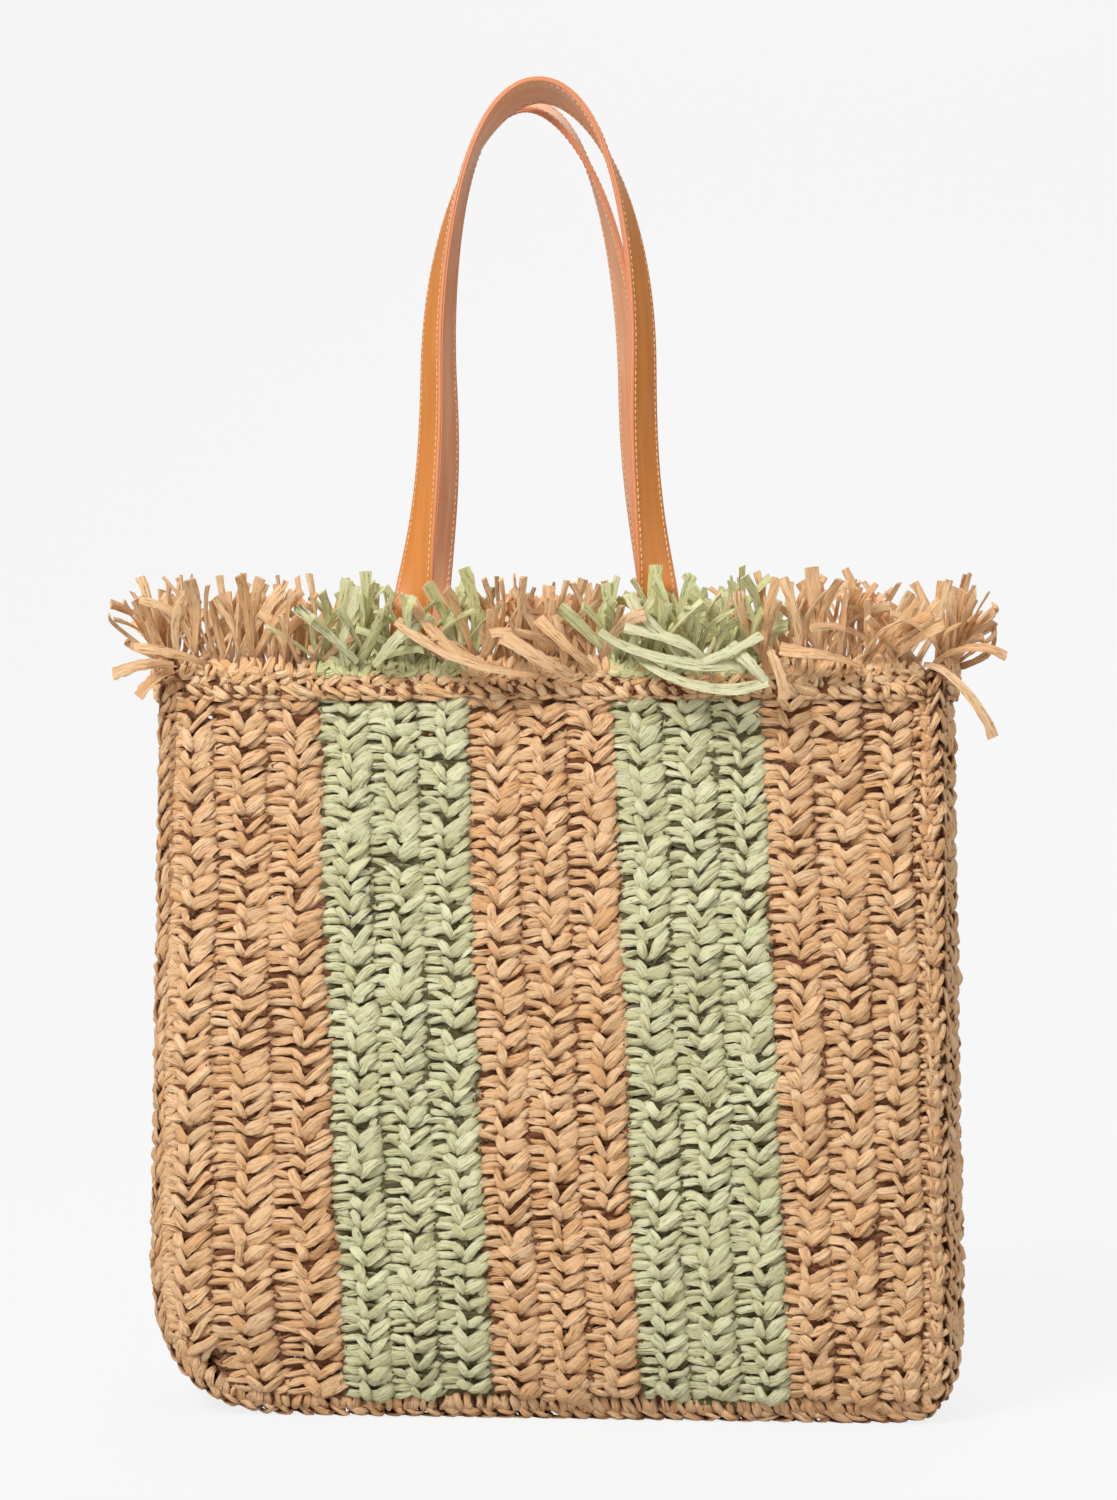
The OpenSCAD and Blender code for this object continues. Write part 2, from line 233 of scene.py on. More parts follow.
def ease(t):
    """A smooth step from 0 to 1."""
    t = np.clip(t, 0, 1)
    return t * t * (3 - 2 * t)


def side_x(z):
    """How far a side stands out at a height, above its bottom corner."""
    return side_at_rim + side_spread * (1 - z / rim_top)


def outline_x(z, side):
    """How far the seam stands out at a height, on the left side (0) or the right (1)."""
    b = np.clip(1 - z / corner_run, 0, 1)
    return side_x(z) - corner_run * (1 - (1 - b ** corner_power[side]) ** (1 / corner_power[side]))


def nearness(x, z):
    """How near a point of a panel is to its seam: 0 well inside, 1 on the seam."""
    power = np.where(x < 0, *corner_power)
    a = np.clip(1 - (side_x(z) - np.abs(x)) / corner_run, 0, None)
    b = np.clip(1 - z / corner_run, 0, None)
    return np.minimum((a ** power + b ** power) ** (1 / power), 1)


def panel_y(x, z):
    """Distance of a panel's outer face from the middle of the bag, with the soft swell of hand work."""
    low = 1 - (1 - belly_at_rim) * ease((z - belly_start) / (rim_top - belly_start))
    swell = 0.0014 * np.sin(31 * x + 17 * z) + 0.0009 * np.sin(67 * x - 43 * z + 1.3)
    along_fold = np.clip((x - fold_left[0]) / (fold_right[0] - fold_left[0]), 0, 1)
    off_x = x - fold_left[0] - along_fold * (fold_right[0] - fold_left[0])
    off_z = z - fold_left[1] - along_fold * (fold_right[1] - fold_left[1])
    fold = fold_depth * np.exp(-(off_x ** 2 + off_z ** 2) / (2 * fold_reach ** 2))
    return half_depth + (belly * low + swell - fold) * np.sqrt(1 - nearness(x, z) ** 2)


def by_length(lines, count):
    """Lines of points, re-spaced so that each has count points at even distances."""
    spaced = []
    for line in lines:
        s = np.concatenate([[0], np.cumsum(np.linalg.norm(np.diff(line, axis=0), axis=1))])
        want = np.linspace(0, s[-1], count)
        spaced.append(np.stack([np.interp(want, s, line[:, c]) for c in range(3)], axis=1))
    return np.array(spaced)


class Cloth:
    """The middle of a curved cloth as a grid of points: g runs across it and t along it, both 0 to 1."""

    def __init__(self, points, inset=0.0):
        self.normals = self.facing(points)
        self.points = points - self.normals * inset
        self.width = np.linalg.norm(np.diff(points[:, points.shape[1] // 2], axis=0), axis=1).sum()
        self.length = np.linalg.norm(np.diff(points[points.shape[0] // 2], axis=0), axis=1).sum()

    def facing(self, points):
        n = np.cross(np.gradient(points, axis=0), np.gradient(points, axis=1))
        return n / np.linalg.norm(n, axis=2, keepdims=True)

    def look(self, table, g, t):
        rows, cols = table.shape[:2]
        a = np.clip(g, -0.1, 1.1) * (rows - 1)
        b = np.clip(t, -0.05, 1.05) * (cols - 1)
        i = np.clip(a.astype(int), 0, rows - 2)
        j = np.clip(b.astype(int), 0, cols - 2)
        u, v = (a - i)[..., None], (b - j)[..., None]
        low = table[i, j] * (1 - u) + table[i + 1, j] * u
        high = table[i, j + 1] * (1 - u) + table[i + 1, j + 1] * u
        return low * (1 - v) + high * v

    def at(self, g, t, h):
        """Points a height h off the middle of the cloth, and the outward direction there."""
        n = self.look(self.normals, g, t)
        return self.look(self.points, g, t) + n * np.asarray(h)[..., None], n


def stripe_cloth(k, front):
    """The cloth of stripe k, 0 to 4 from the left as the front shows them."""
    z = np.concatenate([np.linspace(0.004, 0.03, 50), np.linspace(0.0315, panel_top, 150)])
    shift = stripe_shift + stripe_lean * (1 - z / rim_top)
    tucked = [side_x(z) - 0.5 * (side_x(z) - outline_x(z, side)) - 0.0035 for side in (0, 1)]
    left = -tucked[0] if k == 0 else stripe_lines[k - 1] + shift
    right = tucked[1] if k == 4 else stripe_lines[k] + shift
    rows = []
    for low, high, level in zip(left, right, z):
        x = np.linspace(low, high, 60)
        rows.append(np.stack([x, -panel_y(x, np.full_like(x, level)), np.full_like(x, level)], axis=1))
    points = by_length(by_length(rows, 40).transpose(1, 0, 2), 240)
    if not front:
        points = points[::-1] * (1, -1, 1)
    return Cloth(points, cloth / 2)


def through(count, rings):
    """Weights that carry a smooth line of rings points through count control points."""
    t = np.linspace(0, 1, rings)[:, None]
    held = np.linspace(0, 1, count)
    weights = [np.prod((t - np.delete(held, j)) / (held[j] - np.delete(held, j)), axis=1)
               for j in range(count)]
    return np.array(weights).T


def ribbons(points, facing, width, thick, rings=9, sides=8, shape=None, twist=0.3, fold=0.22, shade_depth=None,
            loose=False):
    """Crumpled straw ribbons along lines of control points (n, k, 3), flat side towards facing (n, 3).
    shape is the width along a ribbon as a share; without it a ribbon narrows to both ends. A value for each
    control point says how far out of the work it lies, from 0 to 1, and the underside of a ribbon that is
    not loose counts as deep; the colour is painted darker where this is low, as painted shade in the hollows
    of the work and under the ribbons."""
    n = len(points)
    line = np.einsum("rk,nkc->nrc", through(points.shape[1], rings), points)
    tangent = np.gradient(line, axis=1)
    tangent /= np.linalg.norm(tangent, axis=2, keepdims=True) + 1e-12
    up = facing[:, None] - tangent * np.sum(facing[:, None] * tangent, axis=2, keepdims=True)
    up /= np.linalg.norm(up, axis=2, keepdims=True) + 1e-12
    across = np.cross(up, tangent)
    t = np.linspace(0, 1, rings)
    if shape is None:
        shape = 0.38 + 0.62 * np.sin(math.pi * t) ** 0.6
    turn = 2 * math.pi * (np.arange(sides) + 0.5) / sides
    crease = seed.uniform(1 - fold, 1 + fold, (n, 1, sides)) * seed.normal(1, crumple, (n, rings, sides))
    roll = seed.normal(0, twist, (n, 1, 1)) + seed.normal(0, twist * 1.5, (n, 1, 1)) * (t - 0.5)[:, None]
    wide = np.broadcast_to(width, n)[:, None, None] / 2
    deep = np.broadcast_to(thick, n)[:, None, None] / 2
    a = np.cos(turn) * crease * shape[:, None] * wide
    b = np.sin(turn) * crease * (0.4 + 0.6 * shape[:, None]) * deep
    sideways = a * np.cos(roll) - b * np.sin(roll)
    # Painted shade under each ribbon: its underside, unless it is loose, counts as deep
    shown = np.clip(0.55 + 0.8 * np.sin(turn + roll) + loose, 0, 1)
    outward = a * np.sin(roll) + b * np.cos(roll)
    place = line[:, :, None] + across[:, :, None] * sideways[..., None] + up[:, :, None] * outward[..., None]
    place[..., 2] = np.maximum(place[..., 2], ground_gap)
    level = np.ones(points.shape[1]) if shade_depth is None else shade_depth
    level = (through(points.shape[1], rings) @ level)[None, :, None]
    return {"place": place, "turn": turn, "wide": wide[..., 0], "shade_depth": shown * level}


def ribbon_mesh(name, blocks, smooth=False):
    """One mesh from blocks of ribbons, with a bake map, a tone for each ribbon and its lengthwise fibre.
    A block says under apart how far the fibre moves on from one ribbon to the next."""
    columns = math.ceil(math.sqrt(sum(len(b["place"]) for b in blocks)))
    places, tones, shade_depths, fibres, loops, maps, starts = [], [], [], [], [], [], []
    vertex, corner, ribbon = 0, 0, 0
    margin = 0.06
    fibre_stretch = 0.12
    for b in blocks:
        n, rings, sides = b["place"].shape[:3]
        number = ribbon + np.arange(n)
        places.append(b["place"].reshape(-1, 3))
        tones.append(np.repeat(seed.normal(0, 1, n), rings * sides))
        shade_depths.append(np.broadcast_to(b["shade_depth"], (n, rings, sides)).ravel())
        step = np.linalg.norm(np.diff(b["place"].mean(axis=2), axis=1), axis=2)
        along = np.concatenate([np.zeros((n, 1)), np.cumsum(step, axis=1)], axis=1)
        fibre = np.empty((n, rings, sides, 3))
        fibre[..., 0] = np.cos(b["turn"]) * b["wide"][..., None] * 1000
        fibre[..., 0] += b.get("apart", 11.7) * number[:, None, None]
        fibre[..., 1] = np.sin(b["turn"]) * b["wide"][..., None] * 1000
        fibre[..., 2] = along[..., None] * 1000 * fibre_stretch
        fibres.append(fibre.reshape(-1, 3))
        index = vertex + np.arange(n * rings * sides).reshape(n, rings, sides)
        after = np.roll(index, -1, axis=2)
        quads = np.stack([index[:, :-1], after[:, :-1], after[:, 1:], index[:, 1:]], axis=-1)
        u0, v0 = number % columns, number // columns
        r, s = np.meshgrid(np.arange(rings - 1), np.arange(sides), indexing="ij")
        u = margin + (1 - 2 * margin) * np.stack([s, s + 1, s + 1, s], axis=-1) / sides
        v = margin + (1 - 2 * margin) * np.stack([r, r, r + 1, r + 1], axis=-1) / (rings - 1)
        cell = np.stack([u0[:, None, None, None] + u, v0[:, None, None, None] + v], axis=-1)
        loops.append(quads.ravel())
        maps.append(cell.reshape(-1, 2))
        starts.append(corner + 4 * np.arange(quads.size // 4))
        corner += quads.size
        ends = np.concatenate([index[:, 0, ::-1], index[:, -1]])
        cut = [np.stack([u0 + 0.5, v0 + end], axis=1) for end in (margin, 1 - margin)]
        loops.append(ends.ravel())
        maps.append(np.repeat(np.concatenate(cut), sides, axis=0))
        starts.append(corner + sides * np.arange(2 * n))
        corner += ends.size
        vertex += n * rings * sides
        ribbon += n
    mesh = bpy.data.meshes.new(name)
    mesh.vertices.add(vertex)
    mesh.vertices.foreach_set("co", np.concatenate(places).astype(np.float32).ravel())
    mesh.loops.add(corner)
    mesh.loops.foreach_set("vertex_index", np.concatenate(loops).astype(np.int32))
    start_at = np.concatenate(starts).astype(np.int32)
    mesh.polygons.add(len(start_at))
    mesh.polygons.foreach_set("loop_start", start_at)
    mesh.update(calc_edges=True)
    bake_map = (np.concatenate(maps) / columns).astype(np.float32)
    mesh.uv_layers.new(name="OFBake").uv.foreach_set("vector", bake_map.ravel())
    for key, values in (("tone", tones), ("shade_depth", shade_depths)):
        layer = mesh.attributes.new(key, "FLOAT", "POINT")
        layer.data.foreach_set("value", np.concatenate(values).astype(np.float32))
    fibre_layer = mesh.attributes.new("fibre", "FLOAT_VECTOR", "POINT")
    fibre_layer.data.foreach_set("vector", np.concatenate(fibres).astype(np.float32).ravel())
    if smooth:
        mesh.shade_smooth()
    else:
        mesh.shade_flat()
    return mesh


def add_piece(mesh, material, body, slot, *nodes):
    """Puts a finished mesh in the scene, riding on a body and standing for CAD nodes."""
    piece = bpy.data.objects.new(mesh.name, mesh)
    bpy.context.scene.collection.objects.link(piece)
    mesh.materials.append(material)
    if body:
        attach(piece, body)
    if nodes:
        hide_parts(*nodes)
    return piece


def straw(name, pale, middle, deep, warm):
    """Paper straw: fine lengthwise creases, a soft satin gloss, and a tone of its own for each ribbon.
    Light and shade are painted into its colour too: the ridges of the creases paler as painted highlight,
    and the grooves, the parts deep in the work and the undersides of ribbons turned towards the colour deep,
    as painted shade.
    """
    made, shader, start = new_material(name, Specular_IOR_Level=0.35)
    fibre = start.node("Attribute", {"attribute_name": "fibre"}, out=1)
    tone = start.node("Attribute", {"attribute_name": "tone"}, out=2)
    shade_depth = start.node("Attribute", {"attribute_name": "shade_depth"}, out=2)
    crease = start.node("TexNoise", Vector=fibre, Scale=1.05, Detail=5.0, Roughness=0.7)
    blotch = start.node("TexNoise", Vector=fibre, Scale=0.33, Detail=2.0)
    # The lengthwise streaks are partly the straw's own streaky tone and partly painted highlight: the ridges
    # of the creases are paler, on top of each ribbon's own tone and blotches
    light = tone * 0.16 + 0.5 + (crease - 0.5) * 1.8 + (blotch - 0.5) * 0.9
    colour = light.step(0.05, 0.95).mix(middle, pale)
    colour = ((blotch + tone * 0.05).step(0.50, 0.75) * 0.5).mix(colour, warm)
    # Painted shade: the grooves of the creases turn towards the deep colour
    colour = (crease.step(0.47, 0.31) * 0.75).mix(colour, deep)
    # Painted shade: the colour turns to the deep colour where a ribbon lies deep in the work or turns its
    # underside in
    colour = (shade_depth.step(0.85, 0.0) * 0.92).mix(colour, deep)
    colour.into(shader, "Base Color")
    (0.66 - crease * 0.18).into(shader, "Roughness")
    start.node("Bump", Height=crease, Strength=0.75, Distance=0.0012).into(shader, "Normal")
    return made


# The third colour of each straw is the deep colour of its painted shade
tan_straw = straw("tan_straw",
                  rgb(251, 215, 171), rgb(229, 175, 121), rgb(108, 48, 8), rgb(228, 157, 92))
green_straw = straw("green_straw",
                    rgb(238, 234, 195), rgb(209, 204, 154), rgb(78, 68, 16), rgb(198, 208, 154))
straws = {"tan": (tan_straw, "tan_straw"), "green": (green_straw, "green_straw")}

# A stitch, ribbon by ribbon: its points across, along and off the cloth, in cells, pitches and mm, and its
# width and thickness in mm
stitch = [
    ([(-0.02, 0.60, -0.8), (-0.22, 0.82, 1.6), (-0.43, 0.86, 1.3), (-0.62, 0.62, -1.2)], 4.3, 2.4),
    ([(-0.62, 0.44, -1.2), (-0.43, 0.22, 1.1), (-0.22, 0.28, 1.7), (0.00, 0.06, -0.8)], 4.2, 2.4),
    ([(-0.20, 1.02, -1.0), (-0.12, 0.72, 1.9), (-0.02, 0.28, 2.6), (0.04, -0.12, -0.5)], 5.1, 2.4),
    ([(-0.02, -0.12, -1.0), (0.11, 0.16, 2.3), (0.30, 0.57, 2.7), (0.54, 1.00, -1.2)], 6.3, 2.8),
    ([(0.12, -0.38, -1.2), (0.27, -0.06, 1.1), (0.42, 0.26, 1.2), (0.62, 0.62, -1.4)], 4.4, 2.2),
]
# The inside of the cloth shows the backs of two leaves, and two flat ribbons that close the gaps behind them
stitch_inside = [
    ([(-0.50, 0.30, -1.0), (-0.28, 0.55, 0.9), (-0.10, 0.75, 0.9), (0.06, 0.95, -1.0)], 6.4, 2.6),
    ([(0.52, 0.20, -1.0), (0.30, 0.35, 1.0), (0.12, 0.60, 1.0), (-0.05, 0.85, -1.0)], 6.8, 2.6),
    ([(-0.45, -0.10, -1.4), (-0.15, 0.02, 0.2), (0.15, 0.05, 0.2), (0.45, -0.05, -1.4)], 5.0, 2.4),
    ([(-0.50, -0.15, -0.6), (-0.48, 0.30, 0.8), (-0.52, 0.70, 0.8), (-0.50, 1.15, -0.6)], 5.0, 1.6),
]


def crochet(piece, cells, pitch, parts=stitch, inward=False, keep=None, rings=9, sides=8, loose=1.0):
    """Ribbons for columns of stitches. cells are the columns' shares of the cloth's width, from g = 0, and
    loose says how uneven the work is."""
    rows = round(piece.length / pitch)
    cells = np.asarray(cells)
    wide = np.repeat(cells, rows)
    middle = np.repeat(np.cumsum(cells) - cells / 2, rows)
    phase = np.repeat(seed.uniform(-0.3, 0.3, len(cells)), rows)
    sway = np.repeat(seed.uniform(0, 6.28, len(cells)), rows)
    row = np.tile(np.arange(rows), len(cells))
    g0 = middle + wide * (seed.normal(0, 0.02, len(row)) + 0.035 * np.sin(row * 0.42 + sway))
    t0 = (row + 0.5 + phase + seed.normal(0, 0.07, len(row))) / rows
    kept = (t0 > 0.004) & (t0 < 0.996)
    if keep is not None:
        kept &= keep(piece.at(g0, t0, np.zeros(len(g0)))[0])
    g0, t0, wide = g0[kept], t0[kept], wide[kept]
    n = len(g0)
    tilt = seed.normal(0, 0.16, n)
    size = seed.normal(1, 0.07, n)
    blocks = []
    for points, width, thick in parts:
        p = np.array(points)
        stray = seed.normal(0, 1, (n, len(p), 3)) * (0.022, 0.070, 0.25) * loose
        u = p[:, 0] + stray[..., 0]
        v = (p[:, 1] - 0.5) * size[:, None] + stray[..., 1] + tilt[:, None] * u
        h = (p[:, 2] + stray[..., 2]) / (-1000 if inward else 1000)
        place, normal = piece.at(g0[:, None] + u * wide[:, None], t0[:, None] + v / rows, h)
        facing = -normal[:, 1] if inward else normal[:, 1]
        w = width / 1000 * (wide / max(cells)) ** 0.7 * size * seed.normal(1, 0.14, n)
        deep = thick / 1000 * seed.normal(1, 0.1, n)
        # Painted shade: the parts of a stitch that sink into the cloth are darker, and its inside counts as
        # a little deep
        shade_depth = np.full(len(p), 0.8) if inward else np.clip((p[:, 2] + 1.2) / 3.2, 0, 1)
        blocks.append(ribbons(place, facing, w, deep, rings, sides, shade_depth=shade_depth))
    return blocks


def both_faces(piece, cells, keep=None):
    """The stitches of a cloth's outside, and the coarser work of its inside."""
    blocks = crochet(piece, cells, stitch_pitch, keep=keep)
    return blocks + crochet(piece, cells, stitch_pitch, stitch_inside, True, keep, 6, 6)


def off_seam(p):
    """Stitches of a panel stop short of its seam, and more so along the bottom."""
    return nearness(p[..., 0], p[..., 2] - 0.0075) < 0.94


stripe_names = ("tan_left", "green_left", "tan_middle", "green_right", "tan_right")
thirds = [1 / 3, 1 / 3, 1 / 3]
half_more = [2 / 7, 2 / 7, 2 / 7, 1 / 7]    # the last stripe ends in half a column
for face in ("front", "back"):
    for k, name in enumerate(stripe_names):
        cells = half_more if k == 4 else thirds
        if face == "back":
            cells = cells[::-1]
        stitches = both_faces(stripe_cloth(k, face == "front"), cells, off_seam)
        mesh = ribbon_mesh(f"{face}_{name}_crochet", stitches)
        material, slot = straws[name.split("_")[0]]
        add_piece(mesh, material, "bag", slot, f"{face}_{name}")


# ---- Gussets and base ----
# A strip of the same crochet, three columns wide, runs down each side and round the bottom corner, and
# bellies out between the seams. The base is a flat strip of it between the two.
gusset_belly = 0.008
gusset_half = 0.0345        # half the width of a strip
base_lift = 0.0006          # the outside of the base is this far off the ground


def corner_line(side, top):
    """The outline from the base round the bottom corner and up to top: distances out, and heights."""
    power = corner_power[side]
    turn = np.radians(np.linspace(90, 0, 60))
    r = (np.cos(turn) ** power + np.sin(turn) ** power) ** (-1 / power)
    z = corner_run * (1 - r * np.sin(turn))
    out = side_x(z) - corner_run * (1 - r * np.cos(turn))
    rise = np.linspace(corner_run, top, 60)[1:]
    return np.concatenate([out, side_x(rise)]), np.concatenate([z, rise])


def gusset_out(z):
    """Belly of a gusset at a height, halfway between its seams."""
    high = 1 - 0.2 * (z - corner_run) / (rim_top - corner_run)
    low = np.cbrt(np.clip(1 - (1 - z / corner_run) ** 3, 0, 1))
    return gusset_belly * np.where(z > corner_run, high, low)


def gusset_cloth(side):
    """The strip on the left side (0) or the right (1)."""
    out, z = corner_line(side, panel_top)
    sign = (-1, 1)[side]
    lines = []
    for v in np.linspace(-1, 1, 21) * sign:
        x = sign * (out + gusset_out(z) * (1 - v * v))
        lines.append(np.stack([x, np.full_like(x, v * gusset_half), z], axis=1))
    return Cloth(by_length(lines, 200), cloth / 2)


for side, name in enumerate(("left", "right")):
    mesh = ribbon_mesh(f"gusset_{name}_crochet", both_faces(gusset_cloth(side), thirds))
    add_piece(mesh, tan_straw, "bag", "tan_straw", f"gusset_{name}")

base_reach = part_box("base")[1].x + 0.002
base_across = np.linspace(-gusset_half, gusset_half, 12)
base_along = np.linspace(-base_reach, base_reach, 60)
base_y, base_x = np.meshgrid(base_across, base_along, indexing="ij")
base_cloth = Cloth(np.stack([base_x, base_y, np.zeros_like(base_x)], axis=2), cloth / 2 + base_lift)
add_piece(ribbon_mesh("base_crochet", both_faces(base_cloth, thirds)), tan_straw, "bag", "tan_straw", "base")


# ---- Seam edging ----
# A braided edge of straw joins each panel to the gussets. Its stitches wrap the seam from both sides and
# end in a chain of small V loops along the outside.
seam_inset = 0.0046             # the middle of the edging lies this far inside the outline
seam_y = half_depth + 0.0015
braid_radius = 0.0030
braid_pitch = 0.0090
chain_turn = math.radians(45)   # the chain faces half outward and half to the front or back
wrap_turn = math.radians(140)   # how far round the seam the stitches reach to each side of the chain
braid = [
    ([(-0.26, -0.20, 0.2), (-0.17, 0.25, 1.1), (-0.06, 0.70, 1.1), (0.01, 1.05, -0.2)], 3.9, 2.2),
    ([(0.26, -0.15, 0.2), (0.17, 0.30, 1.1), (0.06, 0.75, 1.1), (-0.01, 1.10, -0.2)], 3.9, 2.2),
    ([(-0.58, 0.02, -0.8), (-0.42, 0.25, 0.6), (-0.26, 0.45, 0.8), (-0.12, 0.50, -0.4)], 4.3, 2.2),
    ([(0.58, 0.10, -0.8), (0.42, 0.32, 0.6), (0.26, 0.50, 0.8), (0.12, 0.60, -0.4)], 4.3, 2.2),
    ([(-0.56, 0.52, -0.8), (-0.42, 0.75, 0.4), (-0.28, 0.92, 0.6), (-0.14, 1.00, -0.4)], 3.6, 2.0),
    ([(0.56, 0.60, -0.8), (0.42, 0.80, 0.4), (0.28, 0.95, 0.6), (0.14, 1.05, -0.4)], 3.6, 2.0),
]


def seam_cloth(front):
    """The surface of the seam, rolled round its line from the left rim under the bag to the right rim."""
    halves = []
    for side in (0, 1):
        out, z = corner_line(side, rim_top)
        line = np.stack([out, z], axis=1)
        d = np.gradient(line, axis=0)
        d /= np.linalg.norm(d, axis=1, keepdims=True)
        outward = np.stack([d[:, 1], -d[:, 0]], axis=1)
        line -= outward * seam_inset
        sign = (-1, 1)[side]
        halves.append((line * (sign, 1), outward * (sign, 1)))
    line = np.concatenate([halves[0][0][::-1], halves[1][0]])
    outward = np.concatenate([halves[0][1][::-1], halves[1][1]])
    y_sign = -1 if front else 1
    rows = []
    for a in np.linspace(-wrap_turn, wrap_turn, 25) * y_sign + chain_turn:
        x = line[:, 0] + outward[:, 0] * braid_radius * math.cos(a)
        z = line[:, 1] + outward[:, 1] * braid_radius * math.cos(a)
        y = np.full_like(x, y_sign * (seam_y + braid_radius * math.sin(a)))
        rows.append(np.stack([x, y, z], axis=1))
    return Cloth(by_length(rows, 420))


def edge_cloth(front):
    """The margin of a panel along its seam, from 12 mm in to the seam."""
    rows = []
    for inset in np.linspace(0.0120, 0.0010, 12):
        parts = []
        for side in (0, 1):
            out, z = corner_line(side, rim_top)
            d = np.gradient(np.stack([out, z], axis=1), axis=0)
            d /= np.linalg.norm(d, axis=1, keepdims=True)
            x = (-1, 1)[side] * (out - d[:, 1] * inset)
            level = z + d[:, 0] * inset
            parts.append(np.stack([x, -panel_y(x, level), level], axis=1))
        rows.append(np.concatenate([parts[0][::-1], parts[1]]))
    grid = by_length(rows, 420)
    return Cloth(grid if front else grid[::-1] * (1, -1, 1), cloth / 2)


# Two bars of straw to each stitch of the chain lie across the margin of the panel
post = [
    ([(-0.60, 0.08, -0.8), (-0.20, 0.16, 1.3), (0.20, 0.28, 1.5), (0.60, 0.34, -0.4)], 4.2, 2.4),
    ([(-0.60, 0.60, -0.8), (-0.20, 0.66, 1.2), (0.20, 0.74, 1.4), (0.60, 0.86, -0.4)], 4.0, 2.3),
]
for face in ("front", "back"):
    blocks = crochet(seam_cloth(face == "front"), [1.0], braid_pitch, braid)
    margin = post if face == "front" else [([(-u, v, h) for u, v, h in p], w, t) for p, w, t in post]
    blocks += crochet(edge_cloth(face == "front"), [1.0], braid_pitch, margin)
    mesh = ribbon_mesh(f"seam_{face}_braid", blocks)
    add_piece(mesh, tan_straw, "bag", "tan_straw", f"seam_{face}")


# ---- Rim ----
# Rounds of small slanting stitches finish the mouth of the bag. They go up the outside, over the top edge
# and down the inside, and carry the fringe.
rim_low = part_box("rim_front")[0].z + 0.003
rim_pitch = 0.0078
rim_proud = 0.0015          # the rim stands out this far past the panels
rim_lift = 0.0020           # and its stitches this much further
rim_roll = 0.0035           # half its thickness, where it rolls over the top
rim_stitch = [
    ([(-0.62, -0.18, -0.8), (-0.42, 0.22, 1.4), (-0.18, 0.62, 1.7), (0.04, 1.00, -0.8)], 4.4, 2.5),
    ([(0.60, -0.12, -0.8), (0.40, 0.25, 1.3), (0.20, 0.62, 1.6), (-0.02, 0.96, -0.8)], 4.2, 2.4),
    ([(-0.30, -0.30, -1.2), (-0.10, 0.02, 0.8), (0.10, 0.34, 0.9), (0.30, 0.66, -1.0)], 3.8, 2.2),
    ([(-0.62, -0.20, 0.0), (-0.66, 0.20, 0.9), (-0.64, 0.60, 0.9), (-0.60, 1.00, 0.0)], 3.0, 1.8),
]


def rim_profile():
    """Across the rim: how far in from its outer face, and how high, from outside over the top to inside."""
    turn = np.linspace(0, math.pi, 13)
    inset = np.concatenate([[0], rim_roll * (1 - np.cos(turn)), [2 * rim_roll]])
    z = np.concatenate([[rim_low], rim_top - rim_roll + rim_roll * np.sin(turn), [rim_low]])
    return inset, z


def rim_cloth(along, outer, turn):
    """A rim over positions along it, whose outer face is at a distance out from the middle of the bag.
    turn maps (along, out, height) to a point."""
    inset, z = rim_profile()
    lines = [turn(along, outer + rim_proud - cloth / 2 + rim_lift - i, np.full_like(along, level))
             for i, level in zip(inset, z)]
    grid = by_length(np.array(lines).transpose(1, 0, 2), 30).transpose(1, 0, 2)
    return Cloth(grid)


rim_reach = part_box("rim_front")[1].x
x_line = np.linspace(rim_reach, -rim_reach, 120)
v_line = np.linspace(-1, 1, 40)
long_outer = panel_y(x_line, np.full_like(x_line, rim_top))
short_outer = side_x(rim_top) + gusset_out(np.array(rim_top)) * (1 - v_line ** 2)
# Painted light: a paler copy of the tan straw for the rim and the fringe, to make up for the shade that the
# fringe casts on the rim and the shade among the strands
tan_straw_brightened = straw("tan_straw_brightened",
                 rgb(255, 224, 180), rgb(240, 186, 130), rgb(112, 50, 8), rgb(240, 166, 96))
rims = {
    "front": rim_cloth(x_line, long_outer, lambda a, o, z: np.stack([a, -o, z], axis=1)),
    "back": rim_cloth(x_line, long_outer, lambda a, o, z: np.stack([-a, o, z], axis=1)),
    "left": rim_cloth(v_line, short_outer, lambda a, o, z: np.stack([-o, a * gusset_half, z], axis=1)),
    "right": rim_cloth(v_line, short_outer, lambda a, o, z: np.stack([o, -a * gusset_half, z], axis=1)),
}
for name, piece in rims.items():
    blocks = crochet(piece, thirds, rim_pitch, rim_stitch, loose=2.0)
    blocks += crochet(piece, thirds, rim_pitch, stitch_inside, True, None, 6, 6)
    add_piece(ribbon_mesh(f"rim_{name}_stitches", blocks), tan_straw_brightened, "bag", "tan_straw", f"rim_{name}")


# ---- Fringe ----
# Short lengths of straw are knotted side by side along the rim, in the colours of the stripes below. Each
# knot is a loop pulled over the edge. The loose ends stand up, twist, lean and cross.
# Painted light: a paler copy of the green straw for the fringe, to make up for the shade among the strands
green_straw_brightened = straw("green_straw_brightened",
                   rgb(240, 236, 186), rgb(214, 211, 148), rgb(78, 68, 12), rgb(200, 212, 140))
ends = {"tan": (tan_straw_brightened, "tan_straw"), "green": (green_straw_brightened, "green_straw")}
knot_pitch = 0.0062
ends_per_knot = 4
strand_length = (0.031, 0.052)
lean_spread = (14, 24)      # degrees that ends start off unevenly, outward and sideways
bend_spread = (18, 28)      # and bend unevenly on the way up
bend_out_more = 6           # degrees that they bend outward on the whole
root_depth = 0.0035
fringe_out = 0.069          # no knotted end reaches further to the front or back
fringe_side = 0.217         # or to the sides
long_side_lean = 9          # degrees that the ends lean out at the front and back
strap_clear = 0.0445        # ends keep this far from the middle of the bag, clear of the straps
handle_x = -0.007           # the middle of the handles
